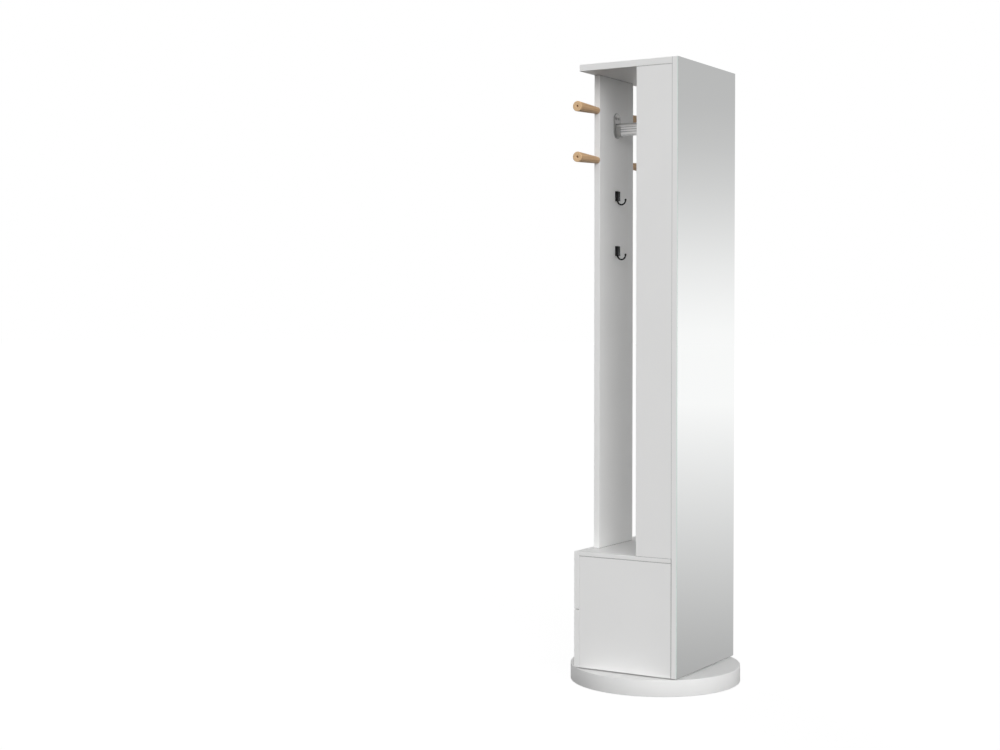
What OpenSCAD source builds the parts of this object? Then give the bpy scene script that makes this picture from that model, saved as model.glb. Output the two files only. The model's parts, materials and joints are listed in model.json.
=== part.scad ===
// Revolving wardrobe cabinet: a tall mirror on one side, an open hanging space behind it, and two drawers
// below, all of it turning on a ball bearing that is let into a thick round base. Millimetres, +Z up, the
// origin on the floor under the axis of the bearing. The mirror faces -Y and the drawer fronts face +Y.

/* [Cabinet] */
// Width of the cabinet, across the mirror
cabinet_w = 395; // [375:5:440]
// Height of the whole object above the floor
total_h = 1800; // [1750:10:1950]
// Height of the drawer box, from the cabinet's underside to the top of the deck
box_h = 338; // [334:2:400]
// Width of the small chamfer along every edge of a board
ease = 0.8; // [0.2:0.1:1.5]

/* [Mirror side] */
// Thickness of the mirror glass
glass_t = 3; // [3:0.5:5]
// Width of the polished chamfer round the face of the glass
glass_bevel = 0.8; // [0.5:0.1:2.5]
// Thickness of the board behind the glass
mirror_board_t = 15; // [14:1:18]
// Thickness of each stile
stile_t = 16; // [15:1:19]
// Depth of each stile, back from the mirror board
stile_d = 112; // [90:2:130]

/* [Top, deck and drawer box] */
// Thickness of the top board
top_t = 19; // [16:1:22]
// Thickness of the deck over the drawers
deck_t = 12; // [12:1:18]
// Thickness of each side of the drawer box
side_t = 16; // [15:1:19]
// Thickness of the bottom board
bottom_t = 16; // [15:1:19]

/* [Peg panel] */
// Width of the upright panel that carries the pegs and the coat hooks
panel_w = 215; // [190:1:240]
// Thickness of the panel
panel_t = 18; // [16:1:22]
// Diameter of a peg at its outer end
peg_d = 30; // [26:1:34]
// Diameter of a peg where it meets the panel
peg_root_d = 20; // [18:1:26]
// How far a peg reaches out beyond the side of the cabinet
peg_reach = 30; // [15:1:40]
// Depth of the upper peg's axis below the top board
peg_drop = 103.5; // [80:0.5:130]
// Height from the lower peg's axis to the upper one's
peg_pitch = 145; // [120:1:170]
// Chamfer round the end of a peg
peg_chamfer = 1.5; // [0.5:0.1:3]
// Diameter of the screw hole through a peg
peg_hole_d = 4.4; // [4.2:0.1:5.2]
// Diameter of the sunk mouth of that hole
peg_mouth_d = 6.4; // [6.2:0.1:9]
// Depth of the sunk mouth
peg_mouth_depth = 14; // [8:1:24]

/* [Hanging rail] */
// Height of the rail's oblong section
rail_h = 38; // [30:1:42]
// Width of the rail's section
rail_w = 18; // [14:1:20]
// Wall of the rail
rail_wall = 2; // [1.6:0.1:2.5]
// Depth of the rail's axis below the top board
rail_drop = 151; // [130:1:180]
// Height from one groove along the rail to the next
groove_pitch = 7; // [5:0.5:8]
// Width of a groove
groove_w = 1.8; // [0.8:0.1:2.4]
// Depth of a groove
groove_depth = 1; // [0.3:0.1:1.1]
// Width of the plate of a rail socket
socket_w = 40; // [36:1:54]
// Height of the plate of a rail socket
socket_h = 76; // [70:1:90]
// Thickness of the plate of a rail socket
socket_plate_t = 3; // [2:0.5:4]
// Wall of the cup of a rail socket
socket_wall = 3; // [2:0.5:4]
// How far the cup stands out from its plate
socket_reach = 14; // [10:1:20]

/* [Coat hooks] */
// Width of the plate of a coat hook
hook_plate_w = 20; // [14:1:26]
// Height of the plate of a coat hook
hook_plate_h = 29; // [26:1:36]
// Thickness of the plate of a coat hook
hook_plate_t = 8; // [6.5:0.5:10]
// Rounding of the two upright front edges of that plate
hook_round = 3; // [1:0.5:3]
// Diameter of the wire of a hook
hook_wire_d = 4.6; // [4:0.1:5.4]
// Radius of the hook's bend, to the middle of the wire
hook_bend_r = 13.3; // [12:0.1:16]
// Height that the wire rises from the end of the bend to the middle of its round tip
hook_rise = 1; // [0.5:0.5:12]
// Diameter of the round tip
hook_tip_d = 6.6; // [5.5:0.1:8]
// Depth of the middle of the upper hook's plate below the top board
hook_drop = 348; // [320:1:380]
// Height from one hook to the next
hook_pitch = 163.5; // [120:0.5:200]

/* [Base and bearing] */
// Diameter of the base
base_d = 500; // [440:5:540]
// Thickness of the base
base_t = 47; // [36:1:60]
// Chamfer round the base
base_chamfer = 1.2; // [0.5:0.1:4]
// Clear height between the base and the cabinet
turn_gap = 3.5; // [3:0.5:6]
// Diameter of a glide under the base
foot_d = 36; // [24:1:50]
// Thickness of a glide
foot_t = 2; // [2:0.5:5]
// Number of glides
foot_count = 6; // [4:1:8]
// Distance from the base's edge to the middle of a glide
foot_inset = 40; // [28:1:60]
// Diameter of the circle that the balls run on
race_d = 260; // [220:2:266]
// Diameter of a ball
ball_d = 6; // [5:0.5:6.5]
// Number of balls
ball_count = 24; // [12:2:36]
// Whole height of the bearing
bearing_h = 12; // [11:0.5:14]
// Thickness of the flange of each ring
flange_t = 2.5; // [2:0.5:3]
// Width of the flange of each ring, beyond its race
flange_w = 16; // [14:1:20]
// Width of the race of each ring
race_w = 16; // [12:1:18]
// Clear height between the two races
race_gap = 3; // [2.6:0.2:4]
// Thickness of the cage that spaces the balls
cage_t = 1.6; // [1:0.2:2]
// Width of the cage
cage_w = 12; // [9:1:14]
// Number of screws in each ring
ring_screw_count = 6; // [4:1:8]

/* [Drawers] */
// Thickness of a drawer front
front_t = 16; // [15:1:19]
// Height of the gap between the two drawer fronts
front_gap = 3; // [2:0.5:5]
// Gap between a closed drawer front and the box behind it
front_reveal = 0.5; // [0.5:0.5:2]
// Radius of the finger cut-out in the top edge of a drawer front
finger_r = 35; // [26:1:40]
// How far a drawer's sides run on behind its slides
drawer_tail = 6; // [4:0.5:12]
// Height of a drawer's sides
drawer_h = 120; // [90:1:125]
// Height of a drawer's sides above the lower edge of its front
drawer_rise = 23; // [20:1:26]
// Thickness of a drawer's sides and back
drawer_t = 12; // [12:1:14]
// Thickness of a drawer's bottom
drawer_bottom_t = 5; // [3:0.5:6]
// Height of a drawer's bottom above the lower edge of its sides
drawer_bottom_lift = 8; // [6:0.5:9]
// Depth of the groove that a drawer's bottom sits in
drawer_groove = 5; // [3:0.5:6]

/* [Drawer slides] */
// Length of a slide. The depth of the cabinet follows from it
slide_len = 250; // [230:2:300]
// Clear depth behind a slide, as far as the mirror board
slide_room = 40.5; // [36:0.5:60]
// Width that a slide takes between the box and the drawer
slide_w = 12.7; // [12.2:0.1:14]
// Height of a slide
slide_h = 45; // [42:1:48]
// Thickness of the sheet that a slide is rolled from
slide_sheet = 1.2; // [1:0.1:1.4]
// Distance from the carcass's rear edge to the end of a slide
slide_inset = 5; // [3:0.5:8]

/* [Fittings] */
// Diameter of a cam lock
cam_d = 15; // [12:0.5:16]
// Distance from the joint to the middle of a cam lock
cam_reach = 24; // [20:1:30]
// Diameter of the smooth shank of a cam bolt
bolt_d = 6; // [5:0.5:7]
// Diameter of the threaded end of a cam bolt
bolt_thread_d = 5; // [4:0.5:6]
// Length of the threaded end of a cam bolt
bolt_thread_len = 9; // [6:0.5:9.5]
// Diameter of a wood screw's shank
screw_d = 4; // [3:0.2:4.4]
// Diameter of a wood screw's head
screw_head_d = 8; // [7:0.2:8.6]
// Height of a wood screw's head
screw_head_h = 2.2; // [1.6:0.1:2.4]
// Length of a wood screw's shank
screw_len = 13; // [10:0.5:13.5]

/* [Hidden] */
$fn = 48;

// How far a cut runs past the face that it opens
over = 1;
// Play round a screw, bolt or cam in its hole, round a ball in its races and its cage, and at a sliding face
hole_play = 0.05;
race_play = 0.05;
cage_play = 0.1;
slide_play = 0.4;
seat_play = 0.3;

// Places across the depth, from the mirror's face back to the drawer fronts
carcass_d = slide_room + slide_len + slide_inset;
cabinet_d = glass_t + mirror_board_t + carcass_d + front_reveal + front_t;
glass_y0 = -cabinet_d / 2;
board_y0 = glass_y0 + glass_t;
carcass_y0 = board_y0 + mirror_board_t;
front_y1 = cabinet_d / 2;
front_y0 = front_y1 - front_t;
carcass_y1 = front_y0 - front_reveal;
panel_y0 = carcass_y1 - panel_t;
stile_y1 = carcass_y0 + stile_d;

// Places across the width
half_w = cabinet_w / 2;
box_half = half_w - side_t;
panel_half = panel_w / 2;
drawer_half = box_half - slide_w;

// Heights above the floor
base_z0 = foot_t;
base_z1 = base_z0 + base_t;
cab_z0 = base_z1 + turn_gap;
bearing_z0 = cab_z0 - bearing_h;
ball_z = bearing_z0 + bearing_h / 2;
bottom_z1 = cab_z0 + bottom_t;
deck_z1 = cab_z0 + box_h;
deck_z0 = deck_z1 - deck_t;
top_z0 = total_h - top_t;
peg_z = [for (i = [0, 1]) top_z0 - peg_drop - peg_pitch * (1 - i)];
hook_z = [for (i = [0, 1]) top_z0 - hook_drop - hook_pitch * (1 - i)];
rail_z = top_z0 - rail_drop;
peg_y = carcass_y1 - panel_t / 2;

// The two drawers, the lower one first
front_h = (box_h - front_gap) / 2;
front_z = [for (i = [0, 1]) cab_z0 + i * (front_h + front_gap)];
drawer_z = [for (z = front_z) z + drawer_rise];
slide_z = [for (z = drawer_z) z + drawer_h / 2];
slide_y0 = carcass_y1 - slide_inset - slide_len;
drawer_y0 = slide_y0 - drawer_tail;

// The rings' radii
race_r = race_d / 2;
race_block_h = (bearing_h - race_gap) / 2;
ring_r0 = race_r - race_w / 2;
ring_r1 = race_r + race_w / 2;
lower_screw_r = ring_r1 + flange_w / 2;
upper_screw_r = ring_r0 - flange_w / 2;
recess_r = ring_r1 + flange_w + over;
access_d = screw_head_d * 1.5;

// The cross slot of a screw, as shares of its head's width and height, and how much of the thickness of a
// board a screw's shank goes into
cross_w_share = 0.12;
cross_len_share = 0.6;
cross_depth_share = 0.5;
grip_share = 0.7;

// The cam fittings: how far a bolt's neck and head reach into its cam, and their sizes
cam_under = cam_d * 0.27;
bolt_head_d = bolt_d * 0.9;
bolt_head_len = bolt_d / 2;
bolt_neck_d = bolt_d * 0.6;
bolt_neck_len = bolt_d * 0.75;
cam_pocket_d = bolt_d * 1.1;
cam_cross_w = cam_d * 0.08;
cam_cross_l = cam_d * 0.5;
cam_cross_depth = cam_d * 0.1;
bolt_neck_x = cam_reach - bolt_head_len / 2 - bolt_neck_len;
bolt_shank_len = min(bolt_neck_x, cam_reach - cam_d / 2 - cage_play);
cam_slot_w = bolt_neck_d + 4 * cage_play;

// The pegs and the screws that hold them
peg_len = half_w + peg_reach - panel_half;
peg_screw_d = peg_hole_d - 2 * cage_play;
peg_screw_head_d = peg_mouth_d - 2 * cage_play;
peg_screw_head_h = peg_screw_d * 0.7;
peg_screw_grip = peg_d * 1.3;

// The rail's sockets: the middle of a plate, the cup, and the screws' places from the middle of the plate
socket_z = rail_z - rail_h / 2 - socket_wall - (socket_w - rail_w) / 6 + socket_h / 2;
cup_w = rail_w + 2 * (seat_play + socket_wall);
cup_h = rail_h + 2 * (seat_play + socket_wall);
socket_screws = [for (side = [-1, 1]) [side * socket_w * 0.22, socket_h * 0.28]];

// The coat hooks: where the wire's bend starts, how far the wire runs up inside the plate, and their screws
wire_y = panel_y0 - hook_wire_d * 0.7;
bend_drop = hook_plate_h * 0.42;
wire_grip = hook_plate_h * 0.2;
hook_screw_d = screw_d * 0.6;
hook_screw_head_d = hook_screw_d * 1.6;
hook_screw_head_h = hook_screw_d * 0.5;

// The sections of a slide, from the side of the box inward: the lips and half heights of its three members
outer_lip_x = slide_w * 0.75;
outer_half_h = slide_h / 2;
middle_x = slide_sheet + screw_head_h + slide_play;
middle_half_h = outer_half_h - slide_sheet - slide_play;
middle_lip_x = outer_lip_x - slide_sheet - slide_play;
inner_half_h = middle_half_h - slide_sheet - slide_play;
inner_lip_x = middle_lip_x - slide_sheet - slide_play;
lip_h = 2 * slide_sheet;
back_screw_len = 3 * drawer_t;

// Where fittings stand along what they join, as shares of it
corner_shares = [0.16, 0.84];
stile_shares = [0.3, 0.7];
stile_height_shares = [0.12, 0.5, 0.88];
panel_shares = [-0.3, 0.3];
drawer_shares = [0.2, 0.8];
slide_shares = [0.12, 0.5, 0.88];
hook_screw_shares = [-0.05, 0.3];

// Colours
WHITE = [0.93, 0.93, 0.92];
EDGE_WHITE = [0.95, 0.95, 0.94];
MIRROR = [0.78, 0.82, 0.84];
BEECH = [0.87, 0.77, 0.62];
ALU = [0.74, 0.75, 0.76];
STEEL = [0.62, 0.63, 0.65];
ZINC = [0.7, 0.71, 0.7];
BLACK = [0.08, 0.08, 0.09];
FELT = [0.35, 0.35, 0.36];
NYLON = [0.9, 0.89, 0.85];

// Puts its children at a place, with their own X and Z along the two directions given
module place(at, x_to, z_to) {
  y_to = cross(z_to, x_to);
  multmatrix([
    [x_to.x, y_to.x, z_to.x, at.x],
    [x_to.y, y_to.y, z_to.y, at.y],
    [x_to.z, y_to.z, z_to.z, at.z]
  ]) children();
}

// A rectangle with its corners cut by the easing of the boards
module eased(a, b, cut = ease) polygon([
  [cut, 0], [a - cut, 0], [a, cut], [a, b - cut], [a - cut, b], [cut, b], [0, b - cut], [0, cut]
]);

// A board between two opposite corners, with its edges eased
module board(low, high) {
  s = high - low;
  translate(low) intersection() {
    linear_extrude(s.z) eased(s.x, s.y);
    translate([0, s.y, 0]) rotate([90, 0, 0]) linear_extrude(s.y) eased(s.x, s.z);
    rotate([90, 0, 90]) linear_extrude(s.x) eased(s.y, s.z);
  }
}

// An oblong with round ends, upright, w wide and h high
module oblong(w, h) {
  square([w, h - w], center = true);
  for (side = [-1, 1]) translate([0, side * (h - w) / 2]) circle(d = w);
}

// A cross slot, sunk into whatever lies under z = 0
module cross_slot(width, length, depth)
  for (turn = [0, 90]) rotate(turn)
    translate([-length / 2, -width / 2, -depth]) cube([length, width, depth + over]);

// A screw, its shank down from z = 0 and its head above, with a cross slot
module screw(head_d, head_h, shank_d, len) {
  translate([0, 0, -len]) cylinder(d = shank_d, h = len + head_h / 2);
  difference() {
    cylinder(d = head_d, h = head_h);
    translate([0, 0, head_h])
      cross_slot(head_d * cross_w_share, head_d * cross_len_share, head_h * cross_depth_share);
  }
}

// The hole that a wood screw's shank goes into
module screw_hole(len = screw_len, shank_d = screw_d)
  translate([0, 0, -len - hole_play]) cylinder(d = shank_d + 2 * hole_play, h = len + over);

module wood_screw(len = screw_len) screw(screw_head_d, screw_head_h, screw_d, len);

// The cam fittings lie on their joint's plane: +X runs into the board of the cam, and +Z out of that board's
// face. t is the thickness of the board that holds the cam
module cam_hole(t) {
  translate([cam_reach, 0, -t / 2 - cam_under]) cylinder(d = cam_d, h = t / 2 + cam_under + over);
  translate([0, 0, -t / 2]) rotate([0, 90, 0]) cylinder(d = bolt_d + 2 * cage_play, h = cam_reach);
  translate([-over, 0, -t / 2]) rotate([0, 90, 0]) cylinder(d = bolt_d + 2 * cage_play, h = 2 * over);
}

module bolt_hole(t)
  translate([-bolt_thread_len - hole_play, 0, -t / 2]) rotate([0, 90, 0])
    cylinder(d = bolt_thread_d + 2 * hole_play, h = bolt_thread_len + over);

// The cam is hollow from below: a round pocket for the bolt's head, and a slot that its neck comes in through
module cam_lock(t) {
  h = t / 2 + cam_under;
  translate([cam_reach, 0, 0]) difference() {
    translate([0, 0, hole_play - h]) cylinder(d = cam_d - 2 * cage_play, h = h - hole_play);
    cross_slot(cam_cross_w, cam_cross_l, cam_cross_depth);
    translate([0, 0, -h]) {
      cylinder(d = cam_pocket_d, h = h - t / 2 + cam_pocket_d / 2);
      translate([-cam_d, -cam_slot_w / 2, 0]) cube([cam_d, cam_slot_w, h - t / 2 + cam_slot_w / 2]);
    }
  }
}

module cam_bolt(t) translate([-bolt_thread_len, 0, -t / 2]) rotate([0, 90, 0]) {
  cylinder(d = bolt_thread_d, h = bolt_thread_len);
  translate([0, 0, bolt_thread_len]) {
    cylinder(d = bolt_d, h = bolt_shank_len);
    cylinder(d = bolt_neck_d, h = cam_reach - bolt_head_len / 2);
    translate([0, 0, cam_reach - bolt_head_len / 2]) cylinder(d = bolt_head_d, h = bolt_head_len);
  }
}

// Every cam fitting of the carcass, as [place, way into the cam's board, way out of its face, thickness,
// number of the cam's board, number of the bolt's board]. The numbers: 0 stile, 1 box side, 2 bottom board,
// 3 panel, 4 top, 5 deck, 6 mirror board
function along(low, high, share) = low + (high - low) * share;
stile_joints = [for (side = [-1, 1], y = [for (s = stile_shares) along(carcass_y0, stile_y1, s)]) each [
  [[side * (half_w - stile_t), y, top_z0], [0, 0, -1], [-side, 0, 0], stile_t, 0, 4],
  [[side * (half_w - stile_t), y, deck_z1], [0, 0, 1], [-side, 0, 0], stile_t, 0, 5]
]];
stile_mirror_joints = [for (side = [-1, 1], z = [for (s = stile_height_shares) along(deck_z1, top_z0, s)])
  [[side * (half_w - stile_t), carcass_y0, z], [0, 1, 0], [-side, 0, 0], stile_t, 0, 6]];
side_joints = [for (side = [-1, 1], s = corner_shares) let (y = along(carcass_y0, carcass_y1, s)) each [
  [[side * box_half, y, deck_z0], [0, 0, -1], [-side, 0, 0], side_t, 1, 5],
  [[side * box_half, carcass_y0, along(bottom_z1, deck_z0, s)], [0, 1, 0], [-side, 0, 0], side_t, 1, 6],
  [[side * box_half, y, bottom_z1], [-side, 0, 0], [0, 0, 1], bottom_t, 2, 1]
]];
panel_joints = [for (s = panel_shares) each [
  [[s * panel_w, carcass_y1, top_z0], [0, 0, -1], [0, 1, 0], panel_t, 3, 4],
  [[s * panel_w, carcass_y1, deck_z1], [0, 0, 1], [0, 1, 0], panel_t, 3, 5]
]];
joints = concat(stile_joints, stile_mirror_joints, side_joints, panel_joints);

// Cuts the holes of the fittings out of board number n. Only the joints on its own side are cut
module fitted(n, side = 0) difference() {
  children();
  for (j = joints) if (side == 0 || sign(j[0].x) == side) {
    if (j[4] == n) place(j[0], j[1], j[2]) cam_hole(j[3]);
    if (j[5] == n) place(j[0], j[1], j[2]) bolt_hole(j[3]);
  }
}

// The base, with the recess that the bearing lies in and the hole that its upper screws are reached through
module base_disc() color(EDGE_WHITE) difference() {
  translate([0, 0, base_z0]) rotate_extrude($fn = 128) intersection() {
    translate([-base_d / 2, 0]) eased(base_d, base_t, base_chamfer);
    square([base_d, base_t]);
  }
  translate([0, 0, bearing_z0]) cylinder(r = recess_r, h = bearing_h, $fn = 96);
  at_ring_screws(lower_screw_r, bearing_z0) screw_hole();
  rotate(90) translate([upper_screw_r, 0, 0]) cylinder(d = access_d, h = base_z1);
}

// The places of a bearing ring's screws
module at_ring_screws(r, z) for (i = [0 : ring_screw_count - 1]) rotate(i * 360 / ring_screw_count)
  translate([r, 0, z]) children();

// The clear hole for a wood screw through a sheet of this thickness that lies on z = 0
module clear_hole(t) translate([0, 0, -over]) cylinder(d = screw_d + 2 * cage_play, h = t + 2 * over);

// Felt glides
module foot_pads() color(FELT)
  for (i = [0 : foot_count - 1]) rotate((i + 0.5) * 360 / foot_count)
    translate([base_d / 2 - foot_inset, 0, 0]) cylinder(d = foot_d, h = foot_t);

// A bearing ring's section: its race with the ball groove, and its flange, which runs out or in from the
// race. The upper ring is flipped over
module ring_section(flange_r0, flip) difference() {
  translate([0, ball_z]) mirror([0, flip]) translate([0, -bearing_h / 2]) {
    translate([ring_r0, 0]) square([race_w, race_block_h]);
    translate([flange_r0, 0]) square([flange_w + ease, flange_t]);
  }
  translate([race_r, ball_z]) circle(d = ball_d + 2 * race_play);
}

module bearing_lower_ring() color(ZINC) difference() {
  rotate_extrude($fn = 96) ring_section(ring_r1 - ease, 0);
  at_ring_screws(lower_screw_r, bearing_z0) clear_hole(flange_t);
}

module bearing_lower_screws() color(STEEL) at_ring_screws(lower_screw_r, bearing_z0 + flange_t) wood_screw();

module bearing_upper_ring() color(ZINC) difference() {
  rotate_extrude($fn = 96) ring_section(ring_r0 - flange_w, 1);
  at_ring_screws(upper_screw_r, cab_z0 - flange_t) clear_hole(flange_t);
}

module bearing_upper_screws() color(STEEL)
  at_ring_screws(upper_screw_r, cab_z0 - flange_t) mirror([0, 0, 1]) wood_screw();

// The ring that spaces the balls, and the balls
module at_balls() for (i = [0 : ball_count - 1]) rotate(i * 360 / ball_count)
  translate([race_r, 0, ball_z]) children();

module bearing_cage() color(NYLON) difference() {
  translate([0, 0, ball_z - cage_t / 2]) difference() {
    cylinder(r = race_r + cage_w / 2, h = cage_t, $fn = 96);
    translate([0, 0, -over]) cylinder(r = race_r - cage_w / 2, h = cage_t + 2 * over, $fn = 96);
  }
  at_balls() translate([0, 0, -cage_t]) cylinder(d = ball_d + 2 * cage_play, h = 2 * cage_t);
}

module bearing_balls() color(STEEL) at_balls() sphere(d = ball_d);

// The boards of the drawer box
module bottom_board() color(WHITE) fitted(2) difference() {
  board([-box_half, carcass_y0, cab_z0], [box_half, carcass_y1, bottom_z1]);
  at_ring_screws(upper_screw_r, cab_z0) mirror([0, 0, 1]) screw_hole();
}

// The places along the slides of drawer i where screws hold them
module at_slide_screws(i) for (s = slide_shares)
  translate([0, slide_y0 + slide_len * s, slide_z[i]]) children();

module box_side(side) color(WHITE) fitted(1, side) difference() {
  board([side > 0 ? box_half : -half_w, carcass_y0, cab_z0],
        [side > 0 ? half_w : -box_half, carcass_y1, deck_z0]);
  for (i = [0, 1]) at_slide_screws(i) translate([side * box_half, 0, 0]) rotate([0, -side * 90, 0])
    screw_hole(side_t * grip_share);
}
module box_side_left() box_side(-1);
module box_side_right() box_side(1);

module deck_board() color(WHITE) fitted(5)
  board([-half_w, carcass_y0, deck_z0], [half_w, carcass_y1, deck_z1]);

// The mirror, and the boards that stand on the deck
module mirror_board() color(WHITE) fitted(6) difference() {
  board([-half_w, board_y0, cab_z0], [half_w, carcass_y0, total_h]);
  at_socket_screws(-1) screw_hole(mirror_board_t * grip_share);
}

// Glass with a chamfer round its face: the section across it and the section up it, drawn through and crossed
module glass_section(length) polygon([
  [0, 0], [length, 0], [length, glass_t - glass_bevel], [length - glass_bevel, glass_t],
  [glass_bevel, glass_t], [0, glass_t - glass_bevel]
]);
module mirror_glass() color(MIRROR) intersection() {
  place([-half_w, board_y0, total_h], [1, 0, 0], [0, 0, -1])
    linear_extrude(total_h - cab_z0) glass_section(cabinet_w);
  place([-half_w, board_y0, cab_z0], [0, 0, 1], [1, 0, 0])
    linear_extrude(cabinet_w) glass_section(total_h - cab_z0);
}

module stile(side) color(WHITE) fitted(0, side)
  board([side > 0 ? half_w - stile_t : -half_w, carcass_y0, deck_z1],
        [side > 0 ? half_w : stile_t - half_w, stile_y1, top_z0]);
module stile_left() stile(-1);
module stile_right() stile(1);

module peg_panel() color(WHITE) fitted(3) difference() {
  board([-panel_half, panel_y0, deck_z1], [panel_half, carcass_y1, top_z0]);
  for (side = [-1, 1], z = peg_z) translate([side * (panel_half - peg_screw_grip), peg_y, z])
    rotate([0, side * 90, 0]) cylinder(d = peg_screw_d + 2 * hole_play, h = peg_screw_grip + over);
  at_socket_screws(1) screw_hole(panel_t * grip_share);
  at_hook_screws() screw_hole(panel_t * grip_share, hook_screw_d);
}

module top_board() color(WHITE) fitted(4)
  board([-half_w, carcass_y0, top_z0], [half_w, carcass_y1, total_h]);

// A peg, turned from beech and thicker towards its outer end, which is chamfered, with its screw hole sunk
module peg(side, z) color(BEECH)
  translate([side * panel_half, peg_y, z]) rotate([0, side * 90, 0]) rotate_extrude() polygon([
    [peg_hole_d / 2, 0], [peg_root_d / 2, 0], [peg_d / 2, peg_len - peg_chamfer],
    [peg_d / 2 - peg_chamfer, peg_len], [peg_mouth_d / 2, peg_len],
    [peg_mouth_d / 2, peg_len - peg_mouth_depth], [peg_hole_d / 2, peg_len - peg_mouth_depth]
  ]);
module peg_left_lower() peg(-1, peg_z[0]);
module peg_left_upper() peg(-1, peg_z[1]);
module peg_right_lower() peg(1, peg_z[0]);
module peg_right_upper() peg(1, peg_z[1]);

module peg_screws() color(STEEL)
  for (side = [-1, 1], z = peg_z)
    translate([side * (panel_half + peg_len - peg_mouth_depth), peg_y, z]) rotate([0, side * 90, 0])
      screw(peg_screw_head_d, peg_screw_head_h, peg_screw_d,
            peg_len - peg_mouth_depth + peg_screw_grip - hole_play);

// The rail: an oblong tube with fine grooves along its two broad sides
module hanging_rail() color(ALU)
  translate([0, panel_y0 - socket_plate_t - seat_play, rail_z]) rotate([90, 0, 0])
    linear_extrude(panel_y0 - carcass_y0 - 2 * (socket_plate_t + seat_play)) difference() {
      oblong(rail_w, rail_h);
      oblong(rail_w - 2 * rail_wall, rail_h - 2 * rail_wall);
      for (side = [-1, 1], i = [-1 : 1]) translate([side * rail_w / 2, i * groove_pitch])
        square([2 * groove_depth, groove_w], center = true);
    }

// A socket for the rail: a round-ended plate, and a cup that is open above
module socket_body() difference() {
  union() {
    translate([0, socket_z, 0]) linear_extrude(socket_plate_t) oblong(socket_w, socket_h);
    translate([0, rail_z, 0]) linear_extrude(socket_plate_t + socket_reach) difference() {
      oblong(cup_w, cup_h);
      translate([-cup_w, rail_h / 4]) square([2 * cup_w, cup_h]);
    }
  }
  translate([0, rail_z, socket_plate_t]) linear_extrude(socket_reach + over) {
    oblong(rail_w + 2 * seat_play, rail_h + 2 * seat_play);
    translate([-rail_w / 2 - seat_play, 0]) square([rail_w + 2 * seat_play, rail_h]);
  }
  for (p = socket_screws) translate([p.x, socket_z + p.y, 0]) clear_hole(socket_plate_t);
}

// end is 1 for the socket on the peg panel and -1 for the one on the mirror board
module at_socket(end) translate([0, end > 0 ? panel_y0 : carcass_y0, 0]) rotate(end > 0 ? 0 : 180)
  rotate([90, 0, 0]) children();
module at_socket_screws(end) at_socket(end) for (p = socket_screws)
  translate([p.x, socket_z + p.y, 0]) children();
module rail_socket_front() color(ZINC) at_socket(-1) socket_body();
module rail_socket_rear() color(ZINC) at_socket(1) socket_body();
module rail_socket_screws() color(STEEL)
  for (end = [-1, 1]) at_socket_screws(end) translate([0, 0, socket_plate_t])
    wood_screw(socket_plate_t + (end > 0 ? panel_t : mirror_board_t) * grip_share);

// The plate of a coat hook from above, flat at its back and with its two front corners rounded
module hook_section() {
  translate([-hook_plate_w / 2, hook_round - hook_plate_t]) square([hook_plate_w, hook_plate_t - hook_round]);
  translate([hook_round - hook_plate_w / 2, -hook_plate_t])
    square([hook_plate_w - 2 * hook_round, hook_plate_t]);
  for (side = [-1, 1]) translate([side * (hook_plate_w / 2 - hook_round), hook_round - hook_plate_t])
    circle(r = hook_round);
}

// A coat hook: a thick plate, and a wire that drops out of it, bends forward and ends in a round tip
module coat_hook(z) color(BLACK) {
  difference() {
    translate([0, panel_y0, z - hook_plate_h / 2]) linear_extrude(hook_plate_h) hook_section();
    at_hook_screws() {
      translate([0, 0, -over]) cylinder(d = hook_screw_d + 2 * cage_play, h = hook_plate_t + 2 * over);
      translate([0, 0, hook_plate_t - hook_screw_head_h])
        cylinder(d = hook_screw_head_d + 2 * cage_play, h = hook_screw_head_h + over);
    }
  }
  translate([0, wire_y, z - bend_drop]) {
    cylinder(d = hook_wire_d, h = wire_grip);
    translate([0, -hook_bend_r, 0]) rotate([0, 90, 0]) rotate([0, 0, 90]) rotate([0, 0, 180])
      rotate_extrude(angle = 180) translate([hook_bend_r, 0]) circle(d = hook_wire_d);
    translate([0, -2 * hook_bend_r, 0]) cylinder(d = hook_wire_d, h = hook_rise);
    translate([0, -2 * hook_bend_r, hook_rise]) sphere(d = hook_tip_d);
  }
}
module coat_hook_lower() coat_hook(hook_z[0]);
module coat_hook_upper() coat_hook(hook_z[1]);

// The screws of the hooks, sunk flush into the plates above the wire
module at_hook_screws() for (z = hook_z, s = hook_screw_shares)
  translate([0, panel_y0, z + hook_plate_h * s]) rotate([90, 0, 0]) children();
module hook_screws() color(BLACK) at_hook_screws() translate([0, 0, hook_plate_t - hook_screw_head_h])
  screw(hook_screw_head_d, hook_screw_head_h, hook_screw_d,
        hook_plate_t - hook_screw_head_h + panel_t * grip_share);

// The fittings of the carcass
module cam_locks() color(ZINC) for (j = joints) place(j[0], j[1], j[2]) cam_lock(j[3]);
module cam_bolts() color(STEEL) for (j = joints) place(j[0], j[1], j[2]) cam_bolt(j[3]);

// The section of a slide's outer or middle member, with X the way to the drawer and Y up: a channel from x0
// to x1, with lips turned in at its open end
module lipped_channel(x0, x1, half_h) {
  translate([x0, -half_h]) square([slide_sheet, 2 * half_h]);
  for (side = [0, 1]) mirror([0, side]) {
    translate([x0, half_h - slide_sheet]) square([x1 - x0, slide_sheet]);
    translate([x1 - slide_sheet, half_h - lip_h]) square([slide_sheet, lip_h]);
  }
}

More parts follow.
